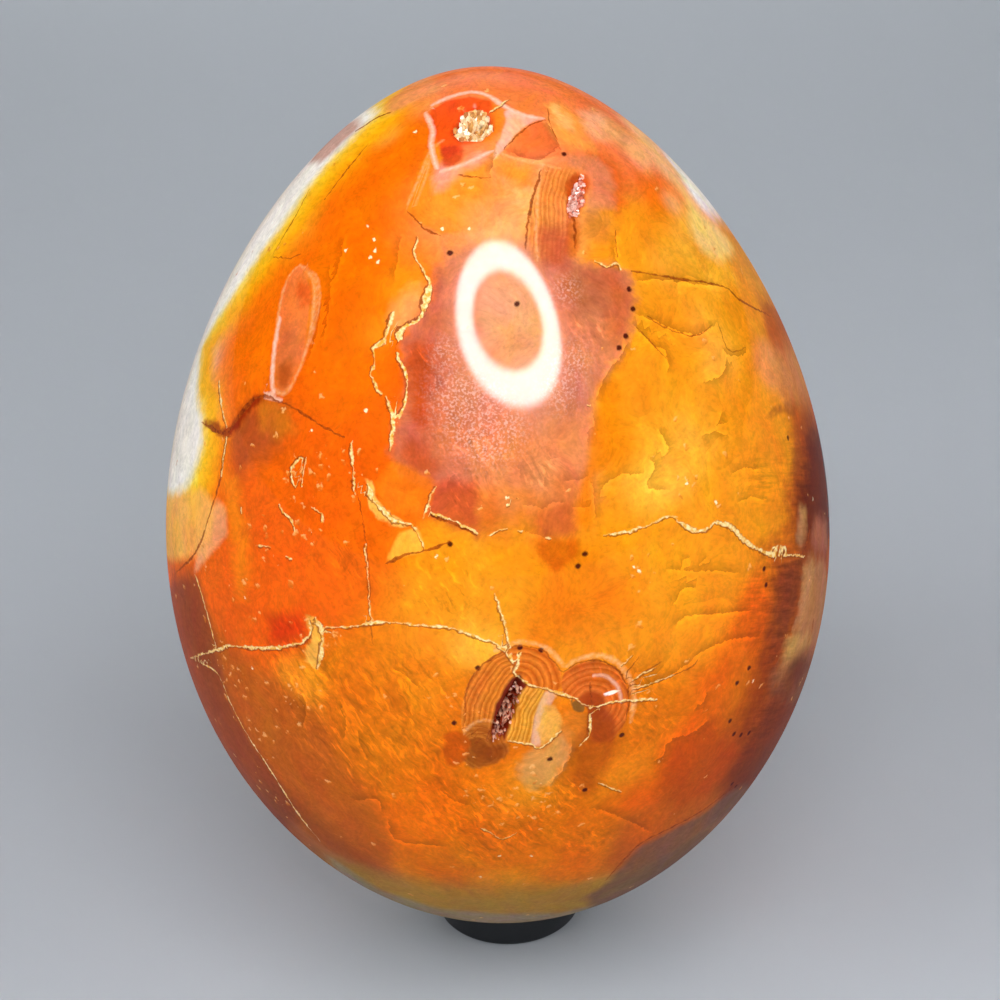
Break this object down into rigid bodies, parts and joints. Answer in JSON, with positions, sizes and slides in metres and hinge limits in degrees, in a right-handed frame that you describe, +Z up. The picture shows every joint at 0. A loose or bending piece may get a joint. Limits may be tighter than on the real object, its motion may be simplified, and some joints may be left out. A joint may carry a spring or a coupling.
{
  "type": "decorative egg on stand",
  "caption": "Polished carnelian agate egg with open crystal pockets, standing blunt end down in the dished seat of a small black moulded ring stand.",
  "frame": {"origin": "on the ground at the centre of the ring stand, under the egg's tip", "axes": "+Z up along the egg's axis towards its slimmer end, -Y towards the viewer of the picture, +X to that viewer's right"},
  "size_m": [0.066, 0.066, 0.0943],
  "materials": {
    "carnelian_agate": "polished",
    "black_plastic": "gloss"
  },
  "bodies": {
    "stand": {"ring_stand": "black_plastic"},
    "egg": {"egg": "carnelian_agate"}
  },
  "joints": [
    {"name": "egg_turn", "type": "hinge", "parent": "stand", "child": "egg", "pos_m": [0, 0, 0], "axis": [0, 0, 1], "continuous": true}
  ]
}
